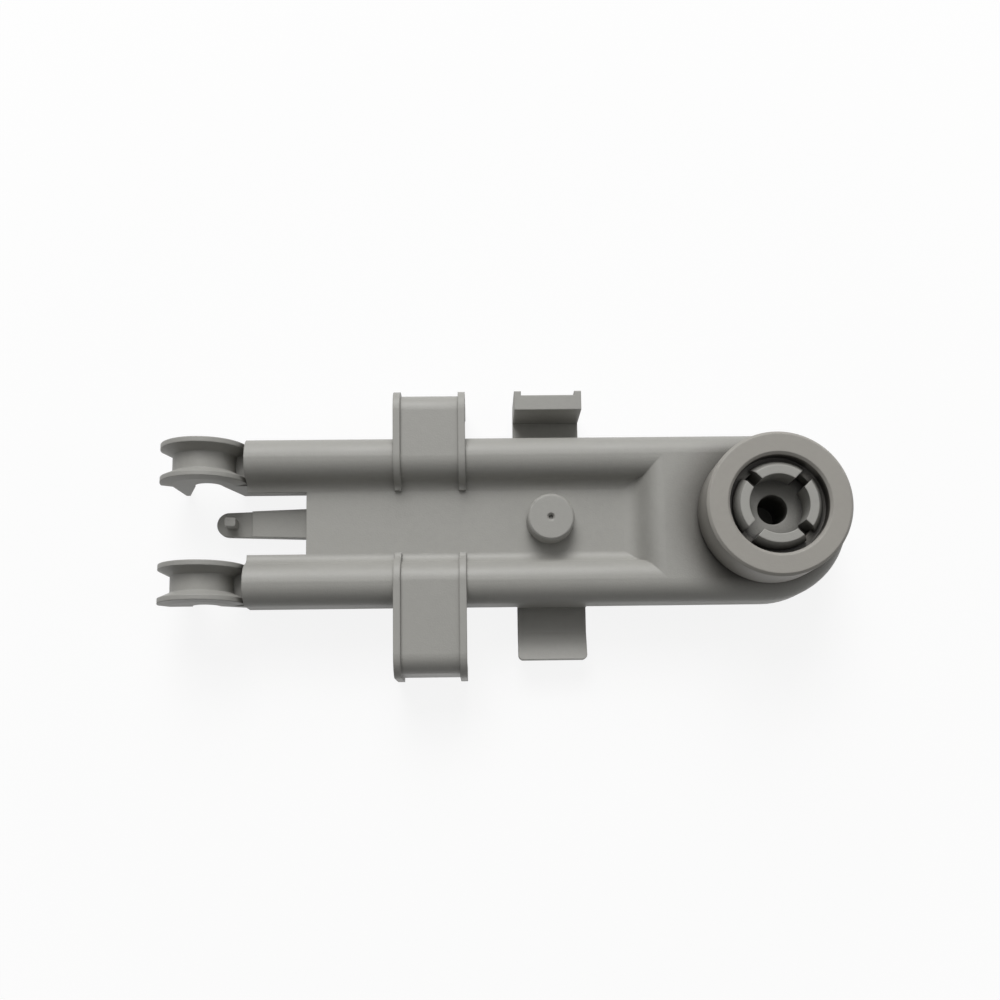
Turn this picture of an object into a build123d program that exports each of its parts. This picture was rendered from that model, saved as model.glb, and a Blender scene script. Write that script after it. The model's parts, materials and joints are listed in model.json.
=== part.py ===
"""Basket wheel carrier of a dishwasher, in millimetres.

The carrier is one moulding: two rails joined by a channel plate, a raised head with a split snap hub,
and hooks for the basket's wires. The wheel is a ring that snaps over the hub.
The part lies on its back: +X points to the wheel, +Z along the wheel's axis, and the origin is at the
centre of the bottom of the bounding box.
"""
import os

from build123d import *

os.makedirs("parts", exist_ok=True)

# Body
length = 138.0
rail_outer = 16.85
rail_inner = 8.05
body_height = 15.2
skirt_back = 6.0
plate_front = 10.4
plate_thickness = 2.0
wall = 1.8
shoulder_round = 4.2
foot_round = 2.1
ramp_length = 7.8
ramp_to_hub = 20.2
rib_thickness = 1.6
rib_lines = 3

# Grooved hooks for the cross wire, at the left end of each rail
wire_seat_radius = 2.75
wire_offset = 1.0
wire_height = 9.1
groove_radius = 6.3
flange_radius = 8.7
flange_root = 2.5
flange_tip = 1.3
flange_lean = 0.3
tooth_tip_width = 0.8
tooth_tip_height = 0.8
tooth_tip_to_wire = 5.8
notch_mouth_to_wire = 5.4
hook_inset = 0.45
hook_to_rail = 9.0

# Spring tongue with its catch
plate_edge_to_hook = 20.8
tongue_front = 6.2
tongue_thickness = 2.0
tongue_step = 0.8
tongue_step_to_wire = 8.2
tongue_offset = 0.8
tongue_root_width = 6.2
tongue_tip_width = 5.0
tongue_tip_to_wire = 0.9
catch_height = 3.4
catch_length = 2.2
catch_width = 1.8
catch_to_wire = 4.2
catch_edge = 0.4

# Strap hooks over the side wires
strap_to_hub = 66.8
strap_width = 14.3
strap_thickness = 2.0
strap_corner = 3.6
upper_reach = 25.5
lower_reach = 30.6
strap_foot = 1.0
rim_width = 1.4
rim_height = 0.85

# Small hooks behind the side wires: an upturned lip on the upper side, a bent leaf on the lower side
lip_to_hub = 43.0
lip_width = 13.5
lip_inner = 22.0
lip_outer = 25.0
lip_top = 14.0
lip_floor = 4.0
lip_floor_thickness = 2.2
lip_corner = 2.0
leaf_to_hub = 42.4
leaf_width = 13.9
leaf_bend = 21.9
leaf_reach = 27.6
leaf_rise = 2.0
leaf_corner = 1.0

# Boss on the channel plate
boss_to_hub = 42.8
boss_radius = 4.7
boss_height = 4.2
boss_edge = 0.4
pit_radius = 0.8
pit_depth = 0.9

# Split hub
journal_radius = 7.8
hub_floor = 3.7
finger_bore = 5.8
finger_land = 7.5
barb_radius = 8.65
barb_flat = 0.8
barb_slope = 1.7
finger_slot = 2.4
hub_hole = 2.95
hub_tube_wall = 2.0
collar_radius = 9.4
collar_height = 0.4

# Wheel
wheel_radius = 14.0
wheel_width = 9.5
wheel_counterbore = 9.55
wheel_bearing_length = 6.3
wheel_edge = 0.5
running_clearance = 0.1
axial_play = 0.2

# Places that follow from the sizes above
upper_side = max(upper_reach, lip_outer) + rim_height
lower_side = lower_reach + rim_height
axis_y = (lower_side - upper_side) / 2
hub_x = length / 2 - rail_outer
hook_x = -length / 2 + flange_radius
wire_x = hook_x + wire_offset
rail_start = hook_x + hook_to_rail
plate_edge = hook_x + plate_edge_to_hook
strap_x = hub_x - strap_to_hub
lip_x = hub_x - lip_to_hub
leaf_x = hub_x - leaf_to_hub
boss_x = hub_x - boss_to_hub
ramp_end = hub_x - ramp_to_hub
ramp_start = ramp_end - ramp_length
rail_middle = (rail_outer + rail_inner) / 2
rail_width = rail_outer - rail_inner
hook_outer = rail_outer - hook_inset
plate_back = plate_front - plate_thickness
crest_centre = body_height - shoulder_round
foot_centre = plate_front + foot_round
shoulder_to_foot = shoulder_round + foot_round
plate_half = rail_middle - (shoulder_to_foot**2 - (foot_centre - crest_centre) ** 2) ** 0.5
head_ceiling = body_height - plate_thickness
collar_top = body_height + collar_height
finger_floor = body_height + hub_floor
wheel_back = collar_top + axial_play
bearing_top = wheel_back + wheel_bearing_length
barb_under = bearing_top + axial_play
barb_top = barb_under + barb_flat
finger_top = barb_top + barb_slope
overlap = 1.0


def flat(height=0.0):
    """Plane facing up at a height, with its origin on the centre line between the rails."""
    return Plane(origin=(0, axis_y, height), x_dir=(1, 0, 0), z_dir=(0, 0, 1))


def across(x):
    """Section plane across the rails at x: its own axes are the part's Y and Z."""
    return Plane(origin=(x, axis_y, 0), x_dir=(0, 1, 0), z_dir=(1, 0, 0))


def along(y=0.0):
    """Section plane along the rails at y from the centre line: its own axes are the part's X and Z."""
    return Plane(origin=(0, axis_y + y, 0), x_dir=(1, 0, 0), z_dir=(0, -1, 0))


def rail_side(grow=0.0):
    """Foot, turning point and crest of a rail's inner side: two arcs that meet smoothly, raised by grow."""
    share = (shoulder_round + grow) / shoulder_to_foot
    turn_y = rail_middle + share * (plate_half - rail_middle)
    turn_z = crest_centre + share * (foot_centre - crest_centre)
    return (plate_half, plate_front + grow), (turn_y, turn_z), (rail_middle, body_height + grow)


def strap_outline(reach, grow):
    """Draw a strap hook's outline: over the rail, out to its reach and down. grow thickens it outwards."""
    top = body_height + grow
    outer = reach + grow
    corner = strap_corner + grow
    inner = reach - strap_thickness
    under = body_height - strap_thickness
    bend = strap_corner - strap_thickness
    foot, turn, crest = rail_side(grow)
    with BuildSketch() as outline:
        with BuildLine():
            Polyline((rail_middle, plate_back), (plate_half, plate_back), foot)
            RadiusArc(foot, turn, -foot_round + grow)
            RadiusArc(turn, crest, shoulder_round + grow)
            Line(crest, (outer - corner, top))
            RadiusArc((outer - corner, top), (outer, top - corner), corner)
            Polyline((outer, top - corner), (outer, strap_foot), (inner, strap_foot), (inner, under - bend))
            RadiusArc((inner, under - bend), (inner - bend, under), -bend)
            Polyline((inner - bend, under), (rail_middle, under), (rail_middle, plate_back))
        make_face()
    return outline.sketch


def lip_outline(grow):
    """Draw a small hook's outline: out from the rail's foot and up to its lip. grow thickens it outwards."""
    bottom = lip_floor - lip_floor_thickness - grow
    outer = lip_outer + grow
    corner = lip_corner + grow
    root = rail_outer - wall
    tab_top = skirt_back + overlap
    with BuildSketch() as outline:
        with BuildLine():
            Polyline((root, tab_top), (root, bottom), (outer - corner, bottom))
            RadiusArc((outer - corner, bottom), (outer, bottom + corner), -corner)
            Polyline((outer, bottom + corner), (outer, lip_top), (lip_inner, lip_top))
            Polyline((lip_inner, lip_top), (lip_inner, lip_floor), (rail_outer, lip_floor))
            Polyline((rail_outer, lip_floor), (rail_outer, tab_top), (root, tab_top))
        make_face()
    return outline.sketch


def leaf_outline():
    """Draw the lower small hook's outline: out from the rail's foot, then sloping up to its end."""
    root = rail_outer - wall
    tab_top = skirt_back + overlap
    bottom = lip_floor - lip_floor_thickness
    with BuildSketch() as outline:
        with BuildLine():
            Polyline(
                (-root, tab_top),
                (-root, bottom),
                (-leaf_bend, bottom),
                (-leaf_reach, bottom + leaf_rise),
                (-leaf_reach, lip_floor + leaf_rise),
                (-leaf_bend, lip_floor),
                (-rail_outer, lip_floor),
                (-rail_outer, tab_top),
                (-root, tab_top),
            )
        make_face()
    return outline.sketch


# The channel between the rails, with rounded shoulders and a ramp up to the head
with BuildPart() as channel:
    with BuildSketch(across(rail_start - overlap)):
        with BuildLine():
            foot, turn, crest = rail_side()
            Line((0, plate_front), foot)
            RadiusArc(foot, turn, -foot_round)
            RadiusArc(turn, crest, shoulder_round)
            Polyline(crest, (0, body_height), (0, plate_front))
        make_face()
        mirror(about=Plane.YZ)
    extrude(amount=ramp_end - rail_start + overlap)
    with BuildSketch(along()):
        with BuildLine():
            Polyline((ramp_start, plate_front), (ramp_start, 0), (ramp_end + overlap, 0))
            Polyline((ramp_end + overlap, 0), (ramp_end + overlap, body_height), (ramp_end, body_height))
            Spline((ramp_start, plate_front), (ramp_end, body_height), tangents=((1, 0), (1, 0)))
        make_face()
    extrude(amount=rail_outer, both=True, mode=Mode.SUBTRACT)

with BuildPart() as carrier:
    # Body block of the rails and the round head
    with BuildSketch(flat(skirt_back)):
        with Locations((hub_x, 0)):
            Circle(rail_outer)
        with Locations(((rail_start + hub_x) / 2, 0)):
            Rectangle(hub_x - rail_start, 2 * rail_outer)
    extrude(amount=body_height - skirt_back)
    fillet(carrier.faces().sort_by(Axis.Z)[-1].edges().sort_by(Axis.X)[1:], shoulder_round)
    add(channel.part, mode=Mode.SUBTRACT)

    # Open space between the rails left of the plate
    with BuildSketch(flat()):
        with Locations(((rail_start - overlap + plate_edge) / 2, 0)):
            Rectangle(plate_edge - rail_start + overlap, 2 * plate_half)
    extrude(amount=body_height, mode=Mode.SUBTRACT)

    # Back of the plate and of its ramp, hollowed to an even thickness
    with BuildSketch(along()):
        with BuildLine():
            Polyline(
                (rail_start - overlap, plate_back),
                (rail_start - overlap, 0),
                (ramp_end - wall, 0),
                (ramp_end - wall, head_ceiling - wall),
                (ramp_start + wall, plate_back),
                (rail_start - overlap, plate_back),
            )
        make_face()
    extrude(amount=rail_inner, both=True, mode=Mode.SUBTRACT)

    # Head cored out from the back, round a tube below the hub and ribs through the tube
    with BuildSketch(flat()):
        with Locations((hub_x, 0)):
            Circle(rail_outer - wall)
        with Locations(((ramp_end + hub_x) / 2, 0)):
            Rectangle(ramp_to_hub, 2 * (rail_outer - wall))
        with Locations((hub_x, 0)):
            Circle(hub_hole + hub_tube_wall, mode=Mode.SUBTRACT)
            with PolarLocations(0, rib_lines, angular_range=180, endpoint=False):
                Rectangle(4 * rail_outer, rib_thickness, mode=Mode.SUBTRACT)
    extrude(amount=head_ceiling, mode=Mode.SUBTRACT)

    # Strap hooks, with a raised rim along both edges
    for side, reach in ((1, upper_reach), (-1, lower_reach)):
        for grow, start, width in (
            (0, -strap_width / 2, strap_width),
            (rim_height, -strap_width / 2, rim_width),
            (rim_height, strap_width / 2 - rim_width, rim_width),
        ):
            section = strap_outline(reach, grow)
            if side < 0:
                section = section.mirror(Plane.YZ)
            extrude(across(strap_x + start) * section, amount=width, dir=(1, 0, 0))

    # Upper small hook, with a rim along both edges
    for grow, start, width in (
        (0, -lip_width / 2, lip_width),
        (rim_height, -lip_width / 2, rim_width),
        (rim_height, lip_width / 2 - rim_width, rim_width),
    ):
        extrude(across(lip_x + start) * lip_outline(grow), amount=width, dir=(1, 0, 0))

    # Lower small hook: a plain leaf, bent up a little, with rounded outer corners
    extrude(across(leaf_x - leaf_width / 2) * leaf_outline(), amount=leaf_width, dir=(1, 0, 0))
    leaf_ends = carrier.faces().filter_by(Axis.Y).filter_by_position(
        Axis.X, leaf_x - leaf_width / 4, leaf_x + leaf_width / 4
    )
    fillet(leaf_ends.sort_by(Axis.Y)[0].edges().filter_by(Axis.Z), leaf_corner)

    # Rails cored out from the back
    for side in (1, -1):
        with BuildSketch(across(rail_start + wall)) as core:
            with Locations((side * rail_middle, (body_height - wall) / 2)):
                Rectangle(rail_width - 2 * wall, body_height - wall)
            fillet(core.vertices().group_by(Axis.Y)[-1], shoulder_round - wall)
        extrude(amount=ramp_end - rail_start - 2 * wall, mode=Mode.SUBTRACT)

    # Deep webs along the inner side of the rails
    for side in (1, -1):
        with BuildSketch(flat()):
            with Locations(((rail_start + ramp_end) / 2, side * (rail_inner + wall / 2))):
                Rectangle(ramp_end - rail_start, wall)
        extrude(amount=skirt_back + overlap)

    # Grooved hooks: a core over the wire's seat, a web with the tooth, and two flanges over the core
    for side in (1, -1):
        with BuildSketch(along(side * (rail_inner + hook_outer) / 2)):
            with Locations((hook_x, wire_height)):
                Circle(groove_radius)
                with Locations((0, -groove_radius)):
                    Rectangle(2 * groove_radius, 2 * groove_radius, mode=Mode.SUBTRACT)
            with BuildLine():
                Polyline(
                    (wire_x + wire_seat_radius, wire_height),
                    (rail_start, skirt_back),
                    (rail_start + wall, skirt_back),
                    (rail_start + wall, wire_height),
                    (wire_x + wire_seat_radius, wire_height),
                )
            make_face()
            with Locations((wire_x, wire_height)):
                Circle(wire_seat_radius, mode=Mode.SUBTRACT)
        extrude(amount=(hook_outer - rail_inner) / 2, both=True)
        with BuildSketch(along(side * (rail_inner + flange_root / 2))):
            with BuildLine():
                tip_x = wire_x - tooth_tip_to_wire
                Polyline(
                    (hook_x - groove_radius, wire_height),
                    (tip_x - tooth_tip_width, tooth_tip_height),
                    (tip_x, tooth_tip_height),
                    (wire_x - wire_seat_radius, wire_height),
                    (hook_x - groove_radius, wire_height),
                )
            make_face()
            with BuildLine():
                Polyline(
                    (wire_x + wire_seat_radius, wire_height),
                    (wire_x + notch_mouth_to_wire, 0),
                    (rail_start + wall, 0),
                    (rail_start + wall, wire_height),
                    (wire_x + wire_seat_radius, wire_height),
                )
            make_face()
        extrude(amount=flange_root / 2, both=True)
        for face, inward in ((rail_inner, 1), (hook_outer, -1)):
            with BuildSketch(flat(wire_height)):
                with BuildLine():
                    Polyline(
                        (hook_x + groove_radius - overlap, side * face),
                        (hook_x + groove_radius, side * face),
                        (hook_x + flange_radius, side * (face + inward * flange_lean)),
                        (hook_x + flange_radius, side * (face + inward * flange_tip)),
                        (hook_x + groove_radius, side * (face + inward * flange_root)),
                        (hook_x + groove_radius - overlap, side * (face + inward * flange_root)),
                        (hook_x + groove_radius - overlap, side * face),
                    )
                make_face()
            revolve(axis=Axis((hook_x, 0, wire_height), (0, -1, 0)), revolution_arc=180)

    # Spring tongue behind the cross wire, hung from the plate's edge, with a catch near its tip
    tongue_back = tongue_front - tongue_thickness
    tongue_tip = wire_x + tongue_tip_to_wire + tongue_tip_width / 2
    step_x = wire_x + tongue_step_to_wire
    for reach, rise in ((tongue_tip, tongue_thickness - tongue_step), (step_x, tongue_thickness)):
        with BuildSketch(flat(tongue_back)):
            with BuildLine():
                Polyline(
                    (plate_edge + wall, tongue_offset + tongue_root_width / 2),
                    (tongue_tip, tongue_offset + tongue_tip_width / 2),
                    (tongue_tip, tongue_offset - tongue_tip_width / 2),
                    (plate_edge + wall, tongue_offset - tongue_root_width / 2),
                    (plate_edge + wall, tongue_offset + tongue_root_width / 2),
                )
            make_face()
            with Locations((tongue_tip, tongue_offset)):
                Circle(tongue_tip_width / 2)
            if reach > tongue_tip:
                with Locations((reach - length / 2, tongue_offset)):
                    Rectangle(length, 2 * tongue_root_width, mode=Mode.SUBTRACT)
        extrude(amount=rise)
    with BuildSketch(flat(tongue_back)):
        with Locations((plate_edge + wall / 2, tongue_offset)):
            Rectangle(wall, tongue_root_width)
    extrude(amount=plate_back + plate_thickness / 2 - tongue_back)
    with BuildSketch(flat(tongue_back)) as catch:
        with Locations((wire_x + catch_to_wire, tongue_offset)):
            Rectangle(catch_length, catch_width)
        fillet(catch.vertices(), catch_edge)
    extrude(amount=tongue_thickness - tongue_step + catch_height)

    # Boss with a pit in its middle
    with BuildSketch(flat(plate_back + plate_thickness / 2)):
        with Locations((boss_x, 0)):
            Circle(boss_radius)
    extrude(amount=boss_height + plate_thickness / 2)
    boss_top = carrier.faces().filter_by(Plane.XY).filter_by_position(
        Axis.Z, plate_front + boss_height - boss_edge / 4, plate_front + boss_height + boss_edge / 4
    )
    chamfer(boss_top.edges(), boss_edge)
    with Locations((boss_x, axis_y, plate_front + boss_height)):
        CounterSinkHole(pit_radius / 2, pit_radius, depth=pit_depth)

    # Split hub: a journal with a floor, barbed fingers round it and a blind hole down into the tube
    with BuildSketch(along()):
        with BuildLine():
            foot = head_ceiling + plate_thickness / 2
            Polyline(
                (hub_x, foot),
                (hub_x + collar_radius, foot),
                (hub_x + collar_radius, collar_top),
                (hub_x + journal_radius, collar_top),
                (hub_x + journal_radius, barb_under),
                (hub_x + barb_radius, barb_under),
                (hub_x + barb_radius, barb_top),
                (hub_x + finger_land, finger_top),
                (hub_x + finger_bore, finger_top),
                (hub_x + finger_bore, finger_floor),
                (hub_x, finger_floor),
                (hub_x, foot),
            )
        make_face()
    revolve(axis=Axis((hub_x, axis_y, 0), (0, 0, 1)))
    with BuildSketch(flat(finger_floor)):
        with Locations((hub_x, 0)):
            with PolarLocations(0, 2, start_angle=45, angular_range=180, endpoint=False):
                Rectangle(4 * journal_radius, finger_slot)
    extrude(amount=finger_top - finger_floor, mode=Mode.SUBTRACT)
    with BuildSketch(flat(skirt_back + wall)):
        with Locations((hub_x, 0)):
            Circle(hub_hole)
    extrude(amount=finger_floor - skirt_back - wall, mode=Mode.SUBTRACT)
carrier.part.label = "carrier"
export_step(carrier.part, "parts/carrier.step")

# The wheel: a ring with a bearing bore at its back and a wide counterbore for the barbs at its front
with BuildPart() as wheel:
    with BuildSketch(along()):
        with BuildLine():
            bore = journal_radius + running_clearance
            wheel_front = wheel_back + wheel_width
            Polyline(
                (hub_x + bore, wheel_back),
                (hub_x + wheel_radius, wheel_back),
                (hub_x + wheel_radius, wheel_front),
                (hub_x + wheel_counterbore, wheel_front),
                (hub_x + wheel_counterbore, bearing_top),
                (hub_x + bore, bearing_top),
                (hub_x + bore, wheel_back),
            )
        make_face()
    revolve(axis=Axis((hub_x, axis_y, 0), (0, 0, 1)))
    front_edges = wheel.faces().sort_by(Axis.Z)[-1].edges()
    back_edge = wheel.faces().sort_by(Axis.Z)[0].edges().sort_by(SortBy.RADIUS)[-1:]
    chamfer(front_edges + back_edge, wheel_edge)
wheel.part.label = "wheel"
export_step(wheel.part, "parts/wheel.step")
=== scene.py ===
import json

import bpy
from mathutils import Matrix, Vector

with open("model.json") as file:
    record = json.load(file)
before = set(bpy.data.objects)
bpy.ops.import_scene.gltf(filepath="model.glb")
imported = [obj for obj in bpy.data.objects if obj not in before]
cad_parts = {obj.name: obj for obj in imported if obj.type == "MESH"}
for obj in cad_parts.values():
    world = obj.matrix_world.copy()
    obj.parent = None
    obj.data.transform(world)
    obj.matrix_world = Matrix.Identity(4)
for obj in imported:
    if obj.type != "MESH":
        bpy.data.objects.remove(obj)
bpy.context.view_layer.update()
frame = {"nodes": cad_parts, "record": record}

scene = bpy.context.scene
scene.view_settings.view_transform = "Standard"

# Lengths are in metres, in the CAD frame. Ranges are (from, to), and may run downwards.
WHITE = (1, 1, 1, 1)
WHOLE = (0.0, 1.0)

# Camera, fitted to the photo's outline: it looks down at the part,
# a little from the longer strap's side
CAMERA_AT = Vector((-0.0056, -0.04381, 0.23664))
CAMERA_TURN = Vector((0.13371, -0.01974, -0.01285))  # the turn's axis, as long as its angle
CAMERA_SENSOR_MM = 36.0
CAMERA_LENS_MM = 41.272
CAMERA_SHIFT_Y = 0.1
CAMERA_NEAR = 0.01

# Soft square lamps: most light comes from the shorter strap's side, as in the photo,
# and a little from beyond the wheel
LAMP_SIZE = 0.8
LAMP_AIM = Vector((0.0, 0.0, 0.01))
LAMPS = (  # name, place, watts
    ("key", (-0.277, 1.034, 1.189), 11.8),
    ("low", (0.0, 1.3106, 0.9178), 11.4),
    ("high", (0.0, 0.6762, 1.45), 1.8),
    ("side", (1.2256, 0.0, 1.0284), 1.4),
)

WORLD_LIGHT = 0.12  # even light on the part
WORLD_TINT = (1, 0.995, 0.985, 1)

FLOOR_REACH = 3.0
FLOOR_DROP = 0.0001  # how far the floor lies under the part
# The share of plain white in what is seen, near and far: the rest takes the shadow
FLOOR_SHINE = (0.88, 1.0)
FLOOR_SHINE_AT = (0.1, 0.3)  # distances from the origin for the two shares
PAPER_TONE = (0.55, 1.0)  # the floor's lit paper, for light that bounces and for the camera

# Noise in the plastic: scale and detail
CLOUDS = (70.0, 3.0)
SPECKS = (900.0, 2.0)
GRAIN = (3200.0, 2.0)
SEED_STEP = (1.0, 1.7, 0.3)  # how a seed moves the noise along each axis

CLOUD_RANGE = (0.3, 0.7)
SPECK_RANGE = (0.35, 0.65)
SPECK_SHARE = 0.35
SPECK_GAIN = 1.04
ROUGHNESS_SPREAD = 0.05
GRAIN_DEPTH = 0.00008
SPECULAR_LEVEL = 0.4

# Edges: rounded in the shading, with a painted highlight along them
EDGE_RADIUS = 0.00035
EDGE_SAMPLES = 6
EDGE_HIGHLIGHT_RANGE = (0.99, 0.8)  # how far the rounded and the true surface agree
EDGE_HIGHLIGHT_SHARE = (0.0, 0.3)
EDGE_HIGHLIGHT_GAIN = 1.18

# Painted shade: where it starts and is full, by how open a place is and how far from the wheel's
# axis, and the colour that it multiplies the tone by
OPEN_SAMPLES = 8
CORNER_REACH = 0.0025
CORNER_OPEN = (0.7, 0.15)
CORNER_SHARE = (0.0, 0.9)
# colour of the painted shade in narrow corners
CORNER_SHADE_COLOUR = (0.32, 0.31, 0.3, 1)
DEEP_REACH = 0.008
HUB_RADIUS = (0.0105, 0.0096)
HUB_OPEN = (0.7, 0.25)
# colour of the painted shade deep in the hub
HUB_SHADE_COLOUR = (0.13, 0.125, 0.115, 1)
WHEEL_INSIDE = (0.0115, 0.0125)
WHEEL_OUTSIDE = (0.027, 0.021)
WHEEL_OPEN = (0.97, 0.6)
# colour of the painted shadow beside the wheel, on its tread and on the head around it
WHEEL_SHADE_COLOUR = (0.33, 0.32, 0.305, 1)

# The foot of the wheel's axis
AXIS = (*frame["record"]["behaviour"]["joints"][0]["pos_m"][:2], 0)


def add_camera():
    """Place the photo's camera and make it the scene's."""
    data = bpy.data.cameras.new("camera")
    data.sensor_width = CAMERA_SENSOR_MM
    data.lens = CAMERA_LENS_MM
    data.shift_y = CAMERA_SHIFT_Y
    data.clip_start = CAMERA_NEAR
    camera = bpy.data.objects.new("camera", data)
    camera.location = CAMERA_AT
    camera.rotation_mode = "AXIS_ANGLE"
    camera.rotation_axis_angle = (CAMERA_TURN.length, *CAMERA_TURN.normalized())
    scene.collection.objects.link(camera)
    scene.camera = camera


def add_lamp(name, place, watts):
    """Add a square lamp that faces the part."""
    data = bpy.data.lights.new(name, "AREA")
    data.size = LAMP_SIZE
    data.energy = watts
    lamp = bpy.data.objects.new(name, data)
    lamp.location = place
    lamp.rotation_mode = "QUATERNION"
    lamp.rotation_quaternion = (LAMP_AIM - Vector(place)).to_track_quat("-Z", "Y")
    scene.collection.objects.link(lamp)


def cleared_tree(owner):
    """Switch on the nodes of a world or material and empty its tree."""
    owner.use_nodes = True
    owner.node_tree.nodes.clear()
    return owner.node_tree


def add_node(tree, kind, **settings):
    """Add a shader node with its settings."""
    node = tree.nodes.new("ShaderNode" + kind)
    for name, value in settings.items():
        setattr(node, name, value)
    return node


def feed(tree, socket, value):
    """Link another node's output to a socket, or set the socket to a constant."""
    if isinstance(value, bpy.types.NodeSocket):
        tree.links.new(value, socket)
    else:
        socket.default_value = value


def calculate(tree, operation, first, second):
    node = add_node(tree, "Math", operation=operation)
    feed(tree, node.inputs[0], first)
    feed(tree, node.inputs[1], second)
    return node.outputs[0]


def calculate_vector(tree, operation, first, second, result):
    node = add_node(tree, "VectorMath", operation=operation)
    feed(tree, node.inputs[0], first)
    feed(tree, node.inputs[1], second)
    return node.outputs[result]


def remap(tree, value, before, after):
    """Carry one range of values over to another, and hold the values outside it at its ends."""
    node = add_node(tree, "MapRange")
    for name, number in zip(("From Min", "From Max", "To Min", "To Max"), (*before, *after)):
        node.inputs[name].default_value = number
    feed(tree, node.inputs["Value"], value)
    return node.outputs["Result"]


def mix_colours(tree, kind, share, first, second):
    node = add_node(tree, "Mix", data_type="RGBA", blend_type=kind)
    for index, value in ((0, share), (6, first), (7, second)):
        feed(tree, node.inputs[index], value)
    return node.outputs[2]


def mix_shaders(tree, share, first, second):
    node = add_node(tree, "MixShader")
    for index, value in enumerate((share, first.outputs[0], second.outputs[0])):
        feed(tree, node.inputs[index], value)
    return node.outputs[0]


def looking_ray(tree):
    """1 for rays that only look: from the camera, off a mirror or through glass."""
    path = add_node(tree, "LightPath")
    seen = path.outputs["Is Camera Ray"]
    for kind in ("Is Glossy Ray", "Is Transmission Ray"):
        seen = calculate(tree, "MAXIMUM", seen, path.outputs[kind])
    return seen


def add_world():
    """Light the part evenly, and show plain white to rays that only look."""
    world = bpy.data.worlds.new("studio")
    tree = cleared_tree(world)
    seen = add_node(tree, "Background")
    seen.inputs["Color"].default_value = WHITE
    seen.inputs["Strength"].default_value = 1.0
    lit = add_node(tree, "Background")
    lit.inputs["Color"].default_value = WORLD_TINT
    lit.inputs["Strength"].default_value = WORLD_LIGHT
    out = add_node(tree, "OutputWorld")
    feed(tree, out.inputs["Surface"], mix_shaders(tree, looking_ray(tree), lit, seen))
    scene.world = world


def floor_white():
    """White to rays that only look, with a share of lit paper near the part for its shadow."""
    material = bpy.data.materials.new("floor_white")
    tree = cleared_tree(material)
    looks = looking_ray(tree)
    paper = add_node(tree, "BsdfDiffuse")
    feed(tree, paper.inputs["Color"], remap(tree, looks, WHOLE, PAPER_TONE))
    shine = add_node(tree, "Emission")
    shine.inputs["Color"].default_value = WHITE
    shine.inputs["Strength"].default_value = 1.0
    place = add_node(tree, "TexCoord").outputs["Object"]
    away = calculate_vector(tree, "DISTANCE", place, (0, 0, 0), "Value")
    share = calculate(tree, "MULTIPLY", looks, remap(tree, away, FLOOR_SHINE_AT, FLOOR_SHINE))
    out = add_node(tree, "OutputMaterial")
    feed(tree, out.inputs["Surface"], mix_shaders(tree, share, paper, shine))
    return material


def add_floor():
    mesh = bpy.data.meshes.new("floor")
    sides = ((-1, -1), (1, -1), (1, 1), (-1, 1))
    corners = [(x * FLOOR_REACH, y * FLOOR_REACH, 0) for x, y in sides]
    mesh.from_pydata(corners, [], [(0, 1, 2, 3)])
    mesh.materials.append(floor_white())
    floor = bpy.data.objects.new("floor", mesh)
    floor.location.z = -FLOOR_DROP
    scene.collection.objects.link(floor)


def noise(tree, place, pattern):
    node = add_node(tree, "TexNoise")
    node.inputs["Scale"].default_value, node.inputs["Detail"].default_value = pattern
    feed(tree, node.inputs["Vector"], place)
    return node.outputs["Fac"]


def openness(tree, reach):
    """How open a place is within a reach: 1 in the open, towards 0 in a deep corner."""
    node = add_node(tree, "AmbientOcclusion", samples=OPEN_SAMPLES)
    node.inputs["Distance"].default_value = reach
    return node.outputs["AO"]


def brighter(colour, gain):
    return (*(part * gain for part in colour), 1)


def paint_edge_highlight(tree, tone, rounded, light):
    """Paint a highlight into a tone: lighten it where the rounded surface leaves the true one,
    which is along edges.
    """
    true = add_node(tree, "NewGeometry").outputs["Normal"]
    agree = calculate_vector(tree, "DOT_PRODUCT", rounded, true, "Value")
    edge_highlight = remap(tree, agree, EDGE_HIGHLIGHT_RANGE, EDGE_HIGHLIGHT_SHARE)
    # painted highlight along edges
    return mix_colours(tree, "MIX", edge_highlight, tone, brighter(light, EDGE_HIGHLIGHT_GAIN))


def add_painted_shade(tree, tone, place):
    """Paint shade into a tone: darken it in narrow corners, deep in the hub and beside the wheel,
    where shadow falls.
    """
    flat = calculate_vector(tree, "MULTIPLY", place, (1, 1, 0), "Vector")
    radius = calculate_vector(tree, "DISTANCE", flat, AXIS, "Value")
    deep = openness(tree, DEEP_REACH)
    # painted shade in narrow corners
    corner_shade = remap(tree, openness(tree, CORNER_REACH), CORNER_OPEN, CORNER_SHARE)
    near_axis = remap(tree, radius, HUB_RADIUS, WHOLE)
    # painted shade deep in the hub
    hub_shade = calculate(tree, "MULTIPLY", near_axis, remap(tree, deep, HUB_OPEN, WHOLE))
    past_hub = remap(tree, radius, WHEEL_INSIDE, WHOLE)
    round_wheel = calculate(tree, "MULTIPLY", past_hub, remap(tree, radius, WHEEL_OUTSIDE, WHOLE))
    # painted shadow beside the wheel, on its tread and on the head around it
    wheel_shade = calculate(tree, "MULTIPLY", round_wheel, remap(tree, deep, WHEEL_OPEN, WHOLE))
    # painted shade: each share multiplies the tone darker where shadow falls
    for share, shade_colour in ((corner_shade, CORNER_SHADE_COLOUR), (hub_shade, HUB_SHADE_COLOUR), (wheel_shade, WHEEL_SHADE_COLOUR)):
        tone = mix_colours(tree, "MULTIPLY", share, tone, shade_colour)
    return tone


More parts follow.
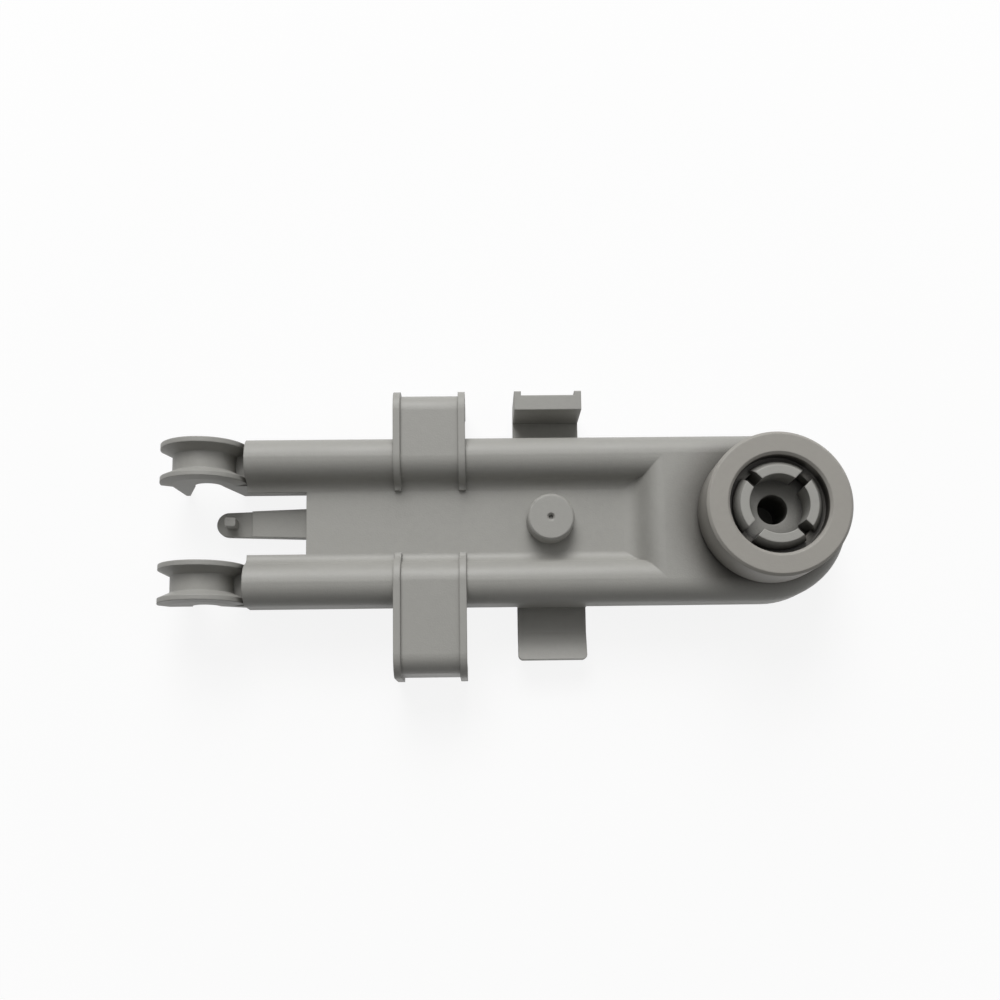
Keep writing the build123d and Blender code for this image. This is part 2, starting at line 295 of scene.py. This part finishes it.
def moulded_plastic(name, dark, light, roughness, grain, seed):
    """Grey moulded plastic: cloudy tone with specks, fine grain, a painted highlight along edges
    and painted shade.
    """
    material = bpy.data.materials.new(name)
    tree = cleared_tree(material)
    place = add_node(tree, "TexCoord").outputs["Object"]
    moved = add_node(tree, "Mapping")
    moved.inputs["Location"].default_value = [seed * step for step in SEED_STEP]
    feed(tree, moved.inputs["Vector"], place)
    pattern_place = moved.outputs["Vector"]

    clouds = remap(tree, noise(tree, pattern_place, CLOUDS), CLOUD_RANGE, WHOLE)
    specks = remap(tree, noise(tree, pattern_place, SPECKS), SPECK_RANGE, (0.0, SPECK_SHARE))
    tone = mix_colours(tree, "MIX", clouds, (*dark, 1), (*light, 1))
    tone = mix_colours(tree, "MIX", specks, tone, brighter(light, SPECK_GAIN))

    bevel = add_node(tree, "Bevel", samples=EDGE_SAMPLES)
    bevel.inputs["Radius"].default_value = EDGE_RADIUS
    rounded = bevel.outputs["Normal"]
    # painted highlight along edges, then painted shade in corners, in the hub and beside the
    # wheel
    tone = add_painted_shade(tree, paint_edge_highlight(tree, tone, rounded, light), place)

    relief = add_node(tree, "Bump")
    relief.inputs["Strength"].default_value = grain
    relief.inputs["Distance"].default_value = GRAIN_DEPTH
    feed(tree, relief.inputs["Height"], noise(tree, pattern_place, GRAIN))
    feed(tree, relief.inputs["Normal"], rounded)

    shader = add_node(tree, "BsdfPrincipled")
    spread = (roughness - ROUGHNESS_SPREAD, roughness + ROUGHNESS_SPREAD)
    feed(tree, shader.inputs["Base Color"], tone)
    feed(tree, shader.inputs["Roughness"], remap(tree, clouds, WHOLE, spread))
    feed(tree, shader.inputs["Normal"], relief.outputs["Normal"])
    shader.inputs["Specular IOR Level"].default_value = SPECULAR_LEVEL
    out = add_node(tree, "OutputMaterial")
    feed(tree, out.inputs["Surface"], shader.outputs[0])
    return material


def dress(node, material):
    """Give every material slot of a CAD node the new material."""
    obj = frame["nodes"][node]
    if not obj.material_slots:
        obj.data.materials.append(material)
    for slot in obj.material_slots:
        slot.material = material


add_camera()
for lamp in LAMPS:
    add_lamp(*lamp)
add_world()
add_floor()
dress("carrier", moulded_plastic(
    "carrier_plastic", dark=(0.325, 0.32, 0.3), light=(0.345, 0.34, 0.318),
    roughness=0.48, grain=0.35, seed=0.0,
))
dress("wheel", moulded_plastic(
    "wheel_plastic", dark=(0.322, 0.308, 0.282), light=(0.34, 0.326, 0.298),
    roughness=0.48, grain=0.25, seed=3.1,
))
